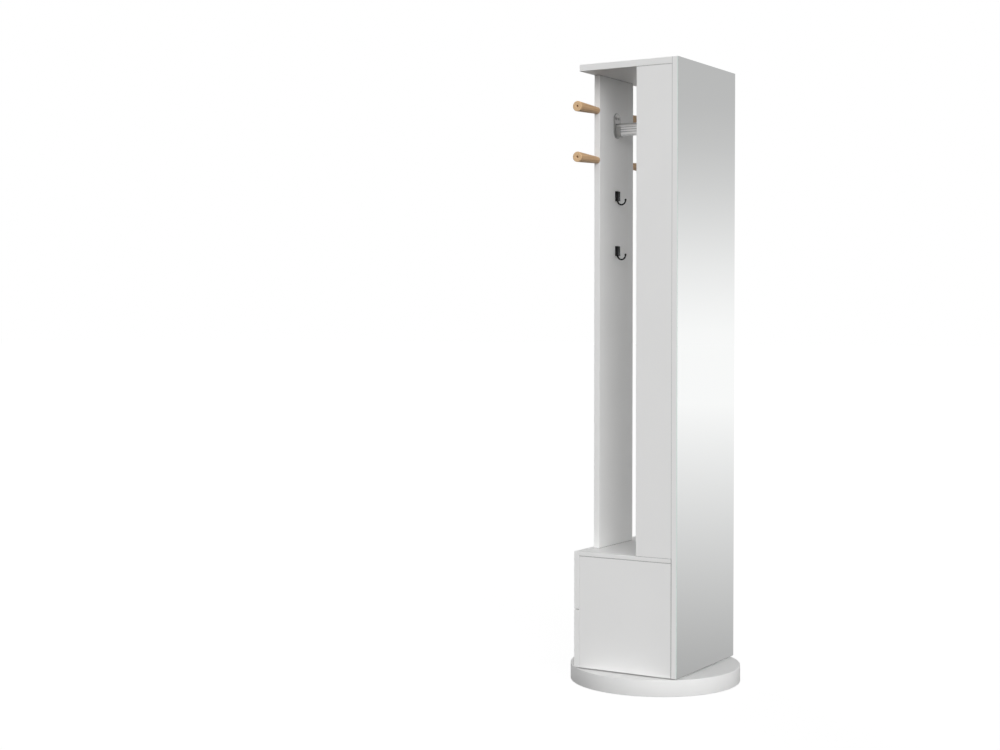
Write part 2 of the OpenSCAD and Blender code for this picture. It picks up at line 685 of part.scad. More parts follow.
// The drawer's own member: its web against the drawer, and lips turned out behind those of the middle one
module inner_section() {
  neck_half_h = middle_half_h - lip_h - slide_play;
  translate([slide_w - slide_sheet, -neck_half_h]) square([slide_sheet, 2 * neck_half_h]);
  for (side = [0, 1]) mirror([0, side]) {
    translate([inner_lip_x - slide_sheet, neck_half_h - slide_sheet])
      square([slide_w - inner_lip_x + slide_sheet, slide_sheet]);
    translate([inner_lip_x - slide_sheet, neck_half_h - slide_sheet])
      square([slide_sheet, inner_half_h - neck_half_h + slide_sheet]);
  }
}

// Draws a pair of slide members for drawer i, the section on the left and mirrored on the right
module slide_pair(i) for (side = [0, 1]) mirror([side, 0, 0])
  translate([-box_half, slide_y0 + slide_len, slide_z[i]]) rotate([90, 0, 0])
    linear_extrude(slide_len) children();

module slide_outer(i) color(ZINC) difference() {
  slide_pair(i) lipped_channel(0, outer_lip_x, outer_half_h);
  at_slide_screws(i) rotate([0, 90, 0]) cylinder(d = screw_d + 2 * cage_play, h = cabinet_w, center = true);
}
module slide_outer_lower() slide_outer(0);
module slide_outer_upper() slide_outer(1);

module slide_outer_screws() color(STEEL) for (side = [-1, 1], i = [0, 1]) at_slide_screws(i)
  translate([side * (box_half - slide_sheet), 0, 0]) rotate([0, -side * 90, 0])
    wood_screw(slide_sheet + side_t * grip_share);

module slide_middle(i) color(ZINC) slide_pair(i) lipped_channel(middle_x, middle_lip_x, middle_half_h);
module slide_middle_lower() slide_middle(0);
module slide_middle_upper() slide_middle(1);

module slide_inner(i) color(ZINC) difference() {
  slide_pair(i) inner_section();
  at_slide_screws(i) rotate([0, 90, 0]) cylinder(d = screw_d + 2 * cage_play, h = cabinet_w, center = true);
}
module slide_inner_lower() slide_inner(0);
module slide_inner_upper() slide_inner(1);

// The drawers. Their sides are fitted to the front with cams, and to the back and the slides with screws
function drawer_joints(i) = [for (side = [-1, 1], s = drawer_shares)
  [[side * (drawer_half - drawer_t), front_y0, drawer_z[i] + drawer_h * s], [0, -1, 0], [-side, 0, 0],
   drawer_t]];
module at_back_screws(i) for (s = drawer_shares)
  translate([0, drawer_y0 + drawer_t / 2, drawer_z[i] + drawer_h * s]) children();
module at_drawer_fittings(i) for (j = drawer_joints(i)) place(j[0], j[1], j[2]) children();

// The bottom panel's own space, grown by play where it cuts its grooves
module bottom_space(i, play) {
  half = drawer_half - drawer_t + drawer_groove + play;
  y0 = drawer_y0 + drawer_t - drawer_groove - play;
  translate([-half, y0, drawer_z[i] + drawer_bottom_lift - play])
    cube([2 * half, front_y0 + drawer_groove + play - y0, drawer_bottom_t + 2 * play]);
}

module drawer_front(i) color(WHITE) difference() {
  board([-half_w, front_y0, front_z[i]], [half_w, front_y1, front_z[i] + front_h]);
  translate([0, front_y1 + over, front_z[i] + front_h]) rotate([90, 0, 0])
    cylinder(r = finger_r, h = front_t + 2 * over);
  bottom_space(i, hole_play);
  at_drawer_fittings(i) bolt_hole(drawer_t);
}
module drawer_front_lower() drawer_front(0);
module drawer_front_upper() drawer_front(1);

module drawer_side(i, side) color(WHITE) difference() {
  board([side > 0 ? drawer_half - drawer_t : -drawer_half, drawer_y0, drawer_z[i]],
        [side > 0 ? drawer_half : drawer_t - drawer_half, front_y0, drawer_z[i] + drawer_h]);
  bottom_space(i, hole_play);
  at_drawer_fittings(i) cam_hole(drawer_t);
  at_back_screws(i) translate([side * drawer_half, 0, 0]) rotate([0, side * 90, 0]) back_screw_hole();
  at_slide_screws(i) translate([side * drawer_half, 0, 0]) rotate([0, side * 90, 0])
    screw_hole(drawer_t * grip_share);
}
module drawer_side_left_lower() drawer_side(0, -1);
module drawer_side_left_upper() drawer_side(1, -1);
module drawer_side_right_lower() drawer_side(0, 1);
module drawer_side_right_upper() drawer_side(1, 1);

// A screw that is sunk flush into the outer face of a drawer's side and grips the end of its back
module back_screw_hole() {
  screw_hole(back_screw_len);
  translate([0, 0, -screw_head_h]) cylinder(d = screw_head_d + 2 * cage_play, h = screw_head_h + over);
}

module drawer_back(i) color(WHITE) difference() {
  board([drawer_t - drawer_half, drawer_y0, drawer_z[i]],
        [drawer_half - drawer_t, drawer_y0 + drawer_t, drawer_z[i] + drawer_h]);
  bottom_space(i, hole_play);
  for (side = [-1, 1]) at_back_screws(i) translate([side * drawer_half, 0, 0]) rotate([0, side * 90, 0])
    screw_hole(back_screw_len);
}
module drawer_back_lower() drawer_back(0);
module drawer_back_upper() drawer_back(1);

module drawer_bottom_lower() color(WHITE) bottom_space(0, 0);
module drawer_bottom_upper() color(WHITE) bottom_space(1, 0);

module drawer_cams_lower() color(ZINC) at_drawer_fittings(0) cam_lock(drawer_t);
module drawer_cams_upper() color(ZINC) at_drawer_fittings(1) cam_lock(drawer_t);
module drawer_bolts_lower() color(STEEL) at_drawer_fittings(0) cam_bolt(drawer_t);
module drawer_bolts_upper() color(STEEL) at_drawer_fittings(1) cam_bolt(drawer_t);

module drawer_screws(i) color(STEEL) for (side = [-1, 1]) {
  at_back_screws(i) translate([side * (drawer_half - screw_head_h), 0, 0]) rotate([0, side * 90, 0])
    wood_screw(back_screw_len - screw_head_h);
  at_slide_screws(i) translate([side * (drawer_half + slide_sheet), 0, 0]) rotate([0, side * 90, 0])
    wood_screw(slide_sheet + drawer_t * grip_share);
}
module drawer_screws_lower() drawer_screws(0);
module drawer_screws_upper() drawer_screws(1);

base_disc();
foot_pads();
bearing_lower_ring();
bearing_lower_screws();
bearing_cage();
bearing_balls();
bearing_upper_ring();
bearing_upper_screws();
bottom_board();
box_side_left();
box_side_right();
deck_board();
mirror_board();
mirror_glass();
stile_left();
stile_right();
peg_panel();
top_board();
peg_left_upper();
peg_left_lower();
peg_right_upper();
peg_right_lower();
peg_screws();
hanging_rail();
rail_socket_front();
rail_socket_rear();
rail_socket_screws();
coat_hook_upper();
coat_hook_lower();
hook_screws();
cam_locks();
cam_bolts();
slide_outer_upper();
slide_outer_lower();
slide_outer_screws();
slide_middle_upper();
slide_middle_lower();
drawer_front_upper();
drawer_side_left_upper();
drawer_side_right_upper();
drawer_back_upper();
drawer_bottom_upper();
slide_inner_upper();
drawer_cams_upper();
drawer_bolts_upper();
drawer_screws_upper();
drawer_front_lower();
drawer_side_left_lower();
drawer_side_right_lower();
drawer_back_lower();
drawer_bottom_lower();
slide_inner_lower();
drawer_cams_lower();
drawer_bolts_lower();
drawer_screws_lower();
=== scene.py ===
"""The looks of a revolving wardrobe cabinet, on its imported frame: a mirror, a hanging space and two drawers."""
import json
import math

import bpy
from mathutils import Matrix, Vector

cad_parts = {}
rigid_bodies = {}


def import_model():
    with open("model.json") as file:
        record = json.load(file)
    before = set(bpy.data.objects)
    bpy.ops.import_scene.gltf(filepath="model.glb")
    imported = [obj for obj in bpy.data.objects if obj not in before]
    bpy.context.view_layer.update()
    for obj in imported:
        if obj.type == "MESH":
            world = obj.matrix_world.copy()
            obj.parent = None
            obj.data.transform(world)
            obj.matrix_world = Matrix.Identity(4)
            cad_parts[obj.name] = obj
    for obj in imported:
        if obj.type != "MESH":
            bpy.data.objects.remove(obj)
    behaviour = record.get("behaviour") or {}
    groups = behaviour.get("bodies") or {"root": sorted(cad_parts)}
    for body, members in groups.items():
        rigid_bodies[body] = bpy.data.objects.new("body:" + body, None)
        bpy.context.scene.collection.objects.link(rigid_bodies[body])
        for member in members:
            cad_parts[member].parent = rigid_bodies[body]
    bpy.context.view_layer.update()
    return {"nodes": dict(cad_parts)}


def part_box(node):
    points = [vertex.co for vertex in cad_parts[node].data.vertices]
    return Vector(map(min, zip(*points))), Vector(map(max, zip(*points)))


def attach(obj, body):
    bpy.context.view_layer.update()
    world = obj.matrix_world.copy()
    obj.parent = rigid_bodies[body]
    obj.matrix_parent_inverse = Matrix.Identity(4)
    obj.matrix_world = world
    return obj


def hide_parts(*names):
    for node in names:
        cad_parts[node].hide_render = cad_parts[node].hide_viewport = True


# The frame
# Every part of the cabinet that has a real size comes from the imported model and stays where it is.
for stray in list(bpy.data.objects):
    bpy.data.objects.remove(stray)
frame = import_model()
nodes = frame["nodes"]
bpy.ops.object.select_all(action="DESELECT")
scene = bpy.context.scene
scene.view_settings.view_transform = "Standard"

# The camera
# It stands at chest height off the cabinet's left front corner and looks past it, so that the cabinet is in the
# right-hand part of the picture, as in the photograph.
camera_place = (-4.3782, -2.1548, 1.0635)
camera_turn, camera_tilt = 0.55174, -0.02368
bpy.ops.object.camera_add(location=camera_place, rotation=(math.pi / 2 + camera_tilt, 0, camera_turn - math.pi / 2))
camera = bpy.context.object
camera.data.lens = 59.222
camera.data.shift_y = -0.016
camera.data.clip_end = 200
scene.camera = camera


# The studio
# A pale floor, and walls that are white to the camera. What shines sees them as a photographer's white cove: bright
# at the height of the eye and softly greyer above and below.
class Wire:
    """A socket of a shader tree, on which Python's own signs do the shader's sums."""

    def __init__(self, tree, socket=None):
        self.tree = tree
        self.socket = socket

    def node(self, kind, settings=None, sockets=None, output=0):
        """Adds a node: its settings first, or the stops of its ramp, and then the values or links of its sockets."""
        made = self.tree.nodes.new("ShaderNode" + kind)
        for name, value in (settings or {}).items():
            if name == "stops":
                ramp = made.color_ramp.elements
                ramp.remove(ramp[-1])
                ramp[0].position, ramp[0].color = value[0][0], value[0][1]
                for place, colour in value[1:]:
                    ramp.new(place).color = colour
            else:
                setattr(made, name, value)
        for name, value in (sockets or {}).items():
            if isinstance(value, Wire):
                self.tree.links.new(value.socket, made.inputs[name])
            else:
                made.inputs[name].default_value = value
        return Wire(self.tree, made.outputs[output] if made.outputs else None)

    def beside(self, output):
        """Another output of the node that this wire comes from."""
        return Wire(self.tree, self.socket.node.outputs[output])

    def axis(self, letter):
        """This vector's share along an axis, by its letter or its number."""
        return self.node("SeparateXYZ", {}, {0: self}, output=letter)

    def sum(self, operation, *values):
        return self.node("Math", {"operation": operation}, dict(enumerate(values)))

    def __add__(self, other):
        return self.sum("ADD", self, other)

    def __sub__(self, other):
        return self.sum("SUBTRACT", self, other)

    def __mul__(self, other):
        return self.sum("MULTIPLY", self, other)

    def __truediv__(self, other):
        return self.sum("DIVIDE", self, other)

    def __pow__(self, other):
        return self.sum("POWER", self, other)

    def __rsub__(self, other):
        return self.sum("SUBTRACT", other, self)

    def __lt__(self, other):
        return self.sum("LESS_THAN", self, other)

    def __gt__(self, other):
        return self.sum("GREATER_THAN", self, other)

    def __abs__(self):
        return self.sum("ABSOLUTE", self)

    __radd__ = __add__
    __rmul__ = __mul__


def grey(level):
    return (level, level, level, 1)


def length_of(vector):
    return vector.node("VectorMath", {"operation": "LENGTH"}, {0: vector}, output="Value")


def seen_by(start):
    """Whether the camera sees a point, straight or through what is clear, and whether something glossy sees it."""
    camera_ray = start.node("LightPath", output="Is Camera Ray")
    straight = camera_ray.sum("MAXIMUM", camera_ray, camera_ray.beside("Is Transmission Ray"))
    return straight, camera_ray.beside("Is Glossy Ray")


# The light that the cove gives, stronger from the camera's side, and its brightness by the sine of the height above
# the horizon as what is polished sees it
AMBIENT, LEAN = 0.34, 0.24
COVE = [(-0.2, 0.47), (-0.013, 0.975), (0.007, 0.92), (0.032, 0.835), (0.056, 0.735), (0.08, 0.64), (0.105, 0.558),
        (0.13, 0.506), (0.2, 0.47), (0.6, 0.5), (1.0, 0.62)]
world = bpy.data.worlds.new("studio_cove")
world.use_nodes = True
world.node_tree.nodes.clear()
scene.world = world
cove = Wire(world.node_tree)
direct, glossy = seen_by(cove)
aim = cove.node("TexCoord", output="Generated")
stops = [((sine + 1) / 2, grey(level)) for sine, level in COVE]
band = cove.node("ValToRGB", {"stops": stops}, {0: aim.axis("Z") * 0.5 + 0.5})
shine = AMBIENT - LEAN * aim.axis("X")
seen = direct + (1 - direct) * (glossy * (band - shine) + shine)
cove.node("OutputWorld", {}, {"Surface": cove.node("Background", {}, {"Color": grey(1), "Strength": seen})})

# The floor's glow to the camera and its grey in the light, and how its sheen in what is polished rises with the
# distance from the cabinet in metres
FLOOR_GLOW, FLOOR_GREY = 0.925, 0.12
SHEEN_NEAR, SHEEN_RISE, SHEEN_REACH, SHEEN_MOST = 0.31, 0.78, 6, 0.88
bpy.ops.mesh.primitive_plane_add(size=120)
floor = bpy.context.object
floor.name = "studio_floor"
floor_finish = bpy.data.materials.new("pale_floor")
floor_finish.use_nodes = True
floor_finish.node_tree.nodes.clear()
ground = Wire(floor_finish.node_tree)
direct, glossy = seen_by(ground)
off = length_of(ground.node("TexCoord", output="Object"))
sheen = ground.sum("MINIMUM", SHEEN_NEAR + SHEEN_RISE * (off / (off + SHEEN_REACH)), SHEEN_MOST)
glow = direct * FLOOR_GLOW + glossy * (1 - direct) * sheen
pale = ground.node("BsdfDiffuse", {}, {"Color": grey(FLOOR_GREY)})
lit = ground.node("Emission", {}, {"Color": grey(1), "Strength": glow})
ground.node("OutputMaterial", {}, {"Surface": ground.node("AddShader", {}, {0: pale, 1: lit})})
floor.data.materials.append(floor_finish)

# Three large soft lights: the direction of each, its strength and its width in degrees
SOFT_LIGHTS = {"side_light": ((-0.766, -0.643, 0.32), 2.2, 50), "front_light": ((0.3, -0.9, 0.25), 0.7, 50),
               "back_light": ((0.5, 0.85, 0.3), 1.2, 30)}
for name, (towards, strength, spread) in SOFT_LIGHTS.items():
    bpy.ops.object.light_add(type="SUN", rotation=Vector(towards).to_track_quat("Z", "Y").to_euler())
    lamp = bpy.context.object
    lamp.name = name
    lamp.data.energy = strength
    lamp.data.angle = math.radians(spread)
    lamp.visible_glossy = False


# The round base
# A thick disc of board, edged and lacquered white, with a flat pocket in its top for the turning bearing and a hole
# underneath through which the bearing's upper screws are driven. It rests on grey felt glides. The mirror shows
# neither, because the photographed mirror shows the bare studio down to its lower edge.
def surface(name, recipe):
    """A material. The recipe is given the start of its tree, and gives the sockets of its Principled shader."""
    made = bpy.data.materials.new(name)
    made.use_nodes = True
    made.node_tree.nodes.clear()
    start = Wire(made.node_tree)
    shader = start.node("BsdfPrincipled", {}, recipe(start))
    start.node("OutputMaterial", {}, {"Surface": shader})
    return made


def noise(place, scale, detail=3, roughness=0.5):
    return place.node("TexNoise", {}, {"Vector": place, "Scale": scale, "Detail": detail, "Roughness": roughness})


def stretched(place, scale):
    return place.node("Mapping", {}, {"Vector": place, "Scale": scale})


def mix(share, first, second):
    return share.node("Mix", {"data_type": "RGBA"}, {0: share, 6: first, 7: second}, output=2)


def bump(height, depth, strength=1.0):
    """A normal from a height that runs from 0 to 1 over this depth in metres."""
    return height.node("Bump", {}, {"Height": height, "Distance": depth, "Strength": strength})


def dress(name, finish):
    piece = nodes[name]
    if not piece.material_slots:
        piece.data.materials.append(finish)
    for held in piece.material_slots:
        held.material = finish


def start_edit(piece, kind="EDGE"):
    bpy.context.view_layer.objects.active = piece
    bpy.ops.object.mode_set(mode="EDIT")
    bpy.ops.mesh.select_mode(type=kind)
    bpy.ops.mesh.select_all(action="DESELECT")


def pick(piece, faces=None, edges=None):
    """Selects the faces whose middle and normal pass the test, or the edges whose two ends do, in edit mode."""
    bpy.ops.mesh.select_mode(type="FACE" if faces else "EDGE")
    bpy.ops.mesh.select_all(action="DESELECT")
    bpy.ops.object.mode_set(mode="OBJECT")
    mesh = piece.data
    for face in mesh.polygons if faces else ():
        face.select = faces(face.center, face.normal)
    for edge in mesh.edges if edges else ():
        ends = [mesh.vertices[i].co for i in edge.vertices]
        edge.select = edges(*ends)
    bpy.ops.object.mode_set(mode="EDIT")


def settle():
    """Puts the active object's place into its mesh."""
    bpy.ops.object.transform_apply(location=True, rotation=True, scale=True)
    return bpy.context.object


def complete(piece, name, finish, angle=32):
    """Names, smooths and paints the modelled piece, with its place in its mesh."""
    bpy.ops.object.select_all(action="DESELECT")
    piece.select_set(True)
    bpy.context.view_layer.objects.active = piece
    settle()
    bpy.ops.object.shade_smooth_by_angle(angle=math.radians(angle))
    piece.name = piece.data.name = name
    piece.data.materials.clear()
    piece.data.materials.append(finish)
    bpy.ops.object.select_all(action="DESELECT")


def join(pieces):
    """Joins the pieces into the first of them."""
    bpy.ops.object.select_all(action="DESELECT")
    for piece in pieces:
        piece.select_set(True)
    bpy.context.view_layer.objects.active = pieces[0]
    bpy.ops.object.join()


def lacquer(start):
    """White lacquer over fine-grained board: a faint spray texture and the slow unevenness of a hand-rolled edge."""
    place = start.node("TexCoord", output="Object")
    cloud = noise(place, 9, 2)
    spray = noise(place, 1400, 2, 0.6)
    return {
        "Base Color": mix(cloud, (0.82, 0.82, 0.815, 1), (0.86, 0.86, 0.855, 1)),
        "Roughness": 0.3 + 0.12 * noise(place, 60, 3),
        "Normal": bump(spray, 0.00004, 0.5),
    }


def felt(start):
    """Pressed wool felt: a mat of short fibres, grey with lighter flecks."""
    place = start.node("TexCoord", output="Object")
    fibres = noise(stretched(place, (900, 2600, 900)), 1, 5, 0.7)
    return {
        "Base Color": mix(fibres, (0.05, 0.05, 0.053, 1), (0.2, 0.2, 0.205, 1)),
        "Roughness": 0.95,
        "Normal": bump(fibres, 0.0006),
    }


# How far apart heights that count as one may be, and how far from a rim its edges may be
LEVEL, RIM = 1e-5, 1e-4
base_low, base_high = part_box("base_disc")
ring_low, ring_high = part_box("bearing_lower_ring")
base_r, base_h, base_arris = (base_high.x - base_low.x) / 2, base_high.z - base_low.z, 0.0012
pocket_room = 0.001
pocket_r = (ring_high.x - ring_low.x) / 2 + pocket_room
access_r, access_y = 0.006, 0.114
bpy.ops.mesh.primitive_cylinder_add(vertices=192, radius=base_r, depth=base_h, location=(0, 0, base_low.z + base_h / 2))
base = settle()
start_edit(base)
pick(base, faces=lambda middle, normal: normal.z > 0.9)
bpy.ops.mesh.inset(thickness=base_r - pocket_r)
bpy.ops.mesh.extrude_region_move(TRANSFORM_OT_translate={"value": (0, 0, ring_low.z - base_high.z)})
pick(base, edges=lambda a, b: abs(a.z - b.z) < LEVEL and min(a.xy.length, b.xy.length) > base_r - RIM)
bpy.ops.mesh.bevel(offset=base_arris, segments=3, affect="EDGES")
bpy.ops.object.mode_set(mode="OBJECT")
complete(base, "base", surface("white_lacquer", lacquer))
bpy.ops.mesh.primitive_cylinder_add(vertices=32, radius=access_r, depth=base_h * 3, location=(0, access_y, base_low.z))
drill = settle()
hole = base.modifiers.new("access_hole", "BOOLEAN")
hole.operation, hole.object, hole.solver = "DIFFERENCE", drill, "EXACT"
bpy.context.view_layer.objects.active = base
bpy.ops.object.modifier_apply(modifier=hole.name)
bpy.data.objects.remove(drill)
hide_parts("base_disc")
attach(base, "base")
dress("foot_pads", surface("grey_felt", felt))
base.visible_glossy = nodes["foot_pads"].visible_glossy = False


# The turning bearing
# Two pressed steel rings, zinc plated, with a ball track in each, a nylon cage, and hard steel balls. It is screwed
# to the base from above and to the cabinet from below, and only its shadow shows.
def zinc(start):
    """Bright zinc plate, with its faint crystal patches and fine rubbing marks."""
    place = start.node("TexCoord", output="Object")
    patches = place.node("TexVoronoi", {}, {"Vector": place, "Scale": 160.0}, output="Color")
    patch = place.node("SeparateColor", {}, {0: patches})
    rubbed = noise(stretched(place, (40, 900, 900)), 1, 4, 0.6)
    return {
        "Base Color": mix(patch * 0.2 + rubbed * 0.5, (0.5, 0.515, 0.53, 1), (0.68, 0.69, 0.7, 1)),
        "Metallic": 1.0,
        "Roughness": 0.28 + 0.16 * rubbed,
        "Normal": bump(rubbed, 0.00003, 0.6),
    }


def steel(start):
    """Plain bright steel with fine turning marks."""
    place = start.node("TexCoord", output="Object")
    turned = noise(place, 1500, 3, 0.6)
    return {
        "Base Color": mix(turned, (0.44, 0.45, 0.46, 1), (0.6, 0.6, 0.6, 1)),
        "Metallic": 1.0,
        "Roughness": 0.24 + 0.14 * turned,
        "Normal": bump(turned, 0.00002, 0.5),
    }


def polished(start):
    """Hardened steel, ground and polished."""
    place = start.node("TexCoord", output="Object")
    return {
        "Base Color": mix(noise(place, 700), (0.62, 0.62, 0.63, 1), (0.7, 0.7, 0.7, 1)),
        "Metallic": 1.0,
        "Roughness": 0.08 + 0.05 * noise(place, 2000),
    }


def nylon(start):
    """Natural nylon, a little waxy, with the faint flow marks of moulding."""
    place = start.node("TexCoord", output="Object")
    flow = noise(stretched(place, (30, 30, 900)), 1, 3)
    return {
        "Base Color": mix(flow, (0.72, 0.7, 0.62, 1), (0.82, 0.8, 0.73, 1)),
        "Roughness": 0.42 + 0.1 * flow,
        "Subsurface Weight": 0.15,
        "Subsurface Radius": (0.002, 0.002, 0.0015),
        "Normal": bump(flow, 0.00003, 0.5),
    }


zinc_plate = surface("zinc_plate", zinc)
bright_steel = surface("bright_steel", steel)
for name in ("bearing_lower_ring", "bearing_upper_ring"):
    dress(name, zinc_plate)
for name in ("bearing_lower_screws", "bearing_upper_screws"):
    dress(name, bright_steel)
dress("bearing_cage", surface("natural_nylon", nylon))
dress("bearing_balls", surface("ball_steel", polished))


# The boards
# Particle board with a satin white melamine face, pressed with a fine pearl texture. Their edges carry a glued
# strip, which shows as a hairline just inside the edge of each broad face. Where the end of a board meets another
# board, painted shade darkens the fine groove between their eased edges, faintly on some sides and deeply on others.
STRIP, HAIRLINE, EASE = 0.0018, 0.00012, 0.0008
# The grey of the painted shade in a groove, faint or deep, and the sides of each board that meet another
FAINT_SHADE, DEEP_SHADE = 0.5, 0.1
MEETS = {"stile": {"-y": FAINT_SHADE, "+z": DEEP_SHADE, "-z": DEEP_SHADE}, "top_board": {"-y": FAINT_SHADE}, "deck_board": {"-y": DEEP_SHADE},
         "box_side": {"-y": DEEP_SHADE, "+z": DEEP_SHADE}, "peg_panel": {"+z": DEEP_SHADE, "-z": DEEP_SHADE}}


def board_finish(name):
    low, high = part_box(name)
    thin = min(range(3), key=lambda i: high[i] - low[i])
    meets = next((sides for kind, sides in MEETS.items() if name.startswith(kind)), {})

    def melamine(start):
        place = start.node("TexCoord", output="Object")
        along = [place.axis(i) for i in range(3)]
        facing = [abs(place.beside("Normal").axis(i)) for i in range(3)]
        gaps = [place.sum("MINIMUM", along[i] - low[i], high[i] - along[i]) for i in range(3) if i != thin]
        line = (abs(place.sum("MINIMUM", *gaps) - STRIP) < HAIRLINE) * (facing[thin] > 0.5)
        pearl = noise(place, 1100, 2, 0.55)
        cloud = noise(place, 5, 2)
        white = mix(cloud, (0.85, 0.85, 0.845, 1), (0.885, 0.885, 0.88, 1))
        paint = mix(line, white, (0.7, 0.7, 0.69, 1))
        for side, tone in meets.items():
            i = "xyz".index(side[1])
            rim = high[i] - along[i] if side[0] == "+" else along[i] - low[i]
            # Painted shade: within the eased rim where this board meets another, its faces take the groove's grey
            paint = mix((rim < EASE) * (facing[i] < 0.9), paint, grey(tone))
        return {
            "Base Color": paint,
            "Roughness": 0.4 + 0.12 * noise(place, 45, 3) + 0.2 * line,
            "Normal": bump(pearl - line, 0.00006, 0.6),
        }

    return surface("melamine_" + name, melamine)


boards = ["bottom_board", "box_side_left", "box_side_right", "deck_board", "mirror_board", "stile_left", "stile_right",
          "peg_panel", "top_board"]
drawer_boards = ["drawer_front", "drawer_side_left", "drawer_side_right", "drawer_back", "drawer_bottom"]
for name in boards + [part + level for part in drawer_boards for level in ("_upper", "_lower")]:
    dress(name, board_finish(name))


# The mirror
# A sheet of float glass silvered on its back, as wide and as high as the board that it is glued to. Its face has a
# narrow polished chamfer all round, and its ground edge shows the green of the glass.
def mirror(start):
    """Silvered glass by the depth below its face: the mirror, its polished chamfer and the ground edge."""
    place = start.node("TexCoord", output="Object")
    depth = place.axis("Y") - glass_face
    edge = depth > GLASS_CHAMFER
    chamfer = (depth > GLASS_SKIN) - edge
    ground_glass = noise(stretched(place, (600, 600, 60)), 1, 3)
    face = mix(chamfer, (0.965, 0.975, 0.97, 1), (0.86, 0.92, 0.9, 1))
    return {
        "Base Color": mix(edge, face, (0.78, 0.86, 0.82, 1)),
        "Metallic": 1 - edge,
        "Roughness": 0.012 + chamfer * 0.1 + edge * (0.25 + 0.2 * ground_glass),
    }


GLASS_SKIN, GLASS_CHAMFER = 0.00002, 0.00083
glass_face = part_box("mirror_glass")[0].y
dress("mirror_glass", surface("silvered_glass", mirror))


# The pegs
# Four turned beech pegs, thicker towards their outer ends, each butted against the edge of the upright panel and
# held by one long screw, whose head lies deep in a sunk hole in the peg's end. The outer rim is rounded by sanding.
def beech(heart, seed):
    """Steamed beech about a heart line along X that lies off the peg, so that the rings cross its end as arcs."""

    def wood(start):
        place = start.node("TexCoord", output="Object")
        across, up = place.axis("Y") - heart[0], place.axis("Z") - heart[1]
        wander = noise(stretched(place, (9 + seed, 60, 60)), 1, 3)
        radius = (across * across + up * up) ** 0.5
        ring = place.sum("PINGPONG", radius * 420 + wander * 2.4, 1)
        fleck = noise(stretched(place, (260, 1900, 1900)), 1, 2) > 0.66
        streak = noise(stretched(place, (30, 1300, 1300)), 1, 4, 0.65)
        # Painted light: the end face gets a lighter copy of the wood than the turned sides
        flank = mix(ring, (0.68, 0.435, 0.24, 1), (0.55, 0.33, 0.175, 1))
        lit_end = mix(ring, (0.82, 0.565, 0.33, 1), (0.68, 0.44, 0.24, 1))
        at_end = abs(place.beside("Normal").axis("X")) > 0.8
        tone = mix(streak * 0.45, mix(at_end, flank, lit_end), (0.76, 0.54, 0.32, 1))
        return {
            "Base Color": mix(fleck * 0.4, tone, (0.36, 0.21, 0.12, 1)),
            "Roughness": 0.42 + 0.14 * streak,
            "Normal": bump(streak - fleck * 0.6, 0.00008, 0.6),
        }

    return wood


# The heart line of the tree that each peg was turned from, by its Y and Z
HEARTS = {"peg_left_upper": (0.165, 1.64), "peg_left_lower": (0.11, 1.55), "peg_right_upper": (0.12, 1.7),
          "peg_right_lower": (0.16, 1.5)}
peg_root_r, peg_round = 0.01, 0.0016
peg_hole_r, peg_hole_depth, peg_hole_arris = 0.0032, 0.014, 0.0003
peg_low, peg_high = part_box("peg_right_upper")
peg_r, peg_length = (peg_high.z - peg_low.z) / 2, peg_high.x - peg_low.x
bpy.ops.mesh.primitive_cylinder_add(vertices=72, radius=peg_r, depth=peg_length, rotation=(0, math.pi / 2, 0),
                                    location=(peg_length / 2, 0, 0))
turned_peg = settle()
start_edit(turned_peg)
pick(turned_peg, faces=lambda middle, normal: normal.x < -0.9)
bpy.ops.transform.resize(value=(1, peg_root_r / peg_r, peg_root_r / peg_r), center_override=(0, 0, 0))
pick(turned_peg, faces=lambda middle, normal: normal.x > 0.9)
bpy.ops.mesh.inset(thickness=peg_r - peg_hole_r)
bpy.ops.mesh.extrude_region_move(TRANSFORM_OT_translate={"value": (-peg_hole_depth, 0, 0)})
tip_x = peg_length - LEVEL
pick(turned_peg, edges=lambda a, b: min(a.x, b.x) > tip_x and min(a.yz.length, b.yz.length) > peg_r - RIM)
bpy.ops.mesh.bevel(offset=peg_round, segments=4, affect="EDGES")
pick(turned_peg, edges=lambda a, b: min(a.x, b.x) > tip_x and max(a.yz.length, b.yz.length) < peg_hole_r + RIM)
bpy.ops.mesh.bevel(offset=peg_hole_arris, segments=2, affect="EDGES")
bpy.ops.object.mode_set(mode="OBJECT")
for name, heart in HEARTS.items():
    low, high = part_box(name)
    peg = turned_peg.copy()
    peg.data = turned_peg.data.copy()
    scene.collection.objects.link(peg)
    outward = 1 if "right" in name else -1
    root = Vector((low.x if outward > 0 else high.x, (low.y + high.y) / 2, (low.z + high.z) / 2))
    peg.data.transform(Matrix.Translation(root) @ Matrix.Rotation(0 if outward > 0 else math.pi, 4, "Z"))
    complete(peg, "beech_" + name, surface("beech_of_" + name, beech(heart, len(name) % 3)))
    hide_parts(name)
    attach(peg, "cabinet")
bpy.data.objects.remove(turned_peg)
dress("peg_screws", bright_steel)


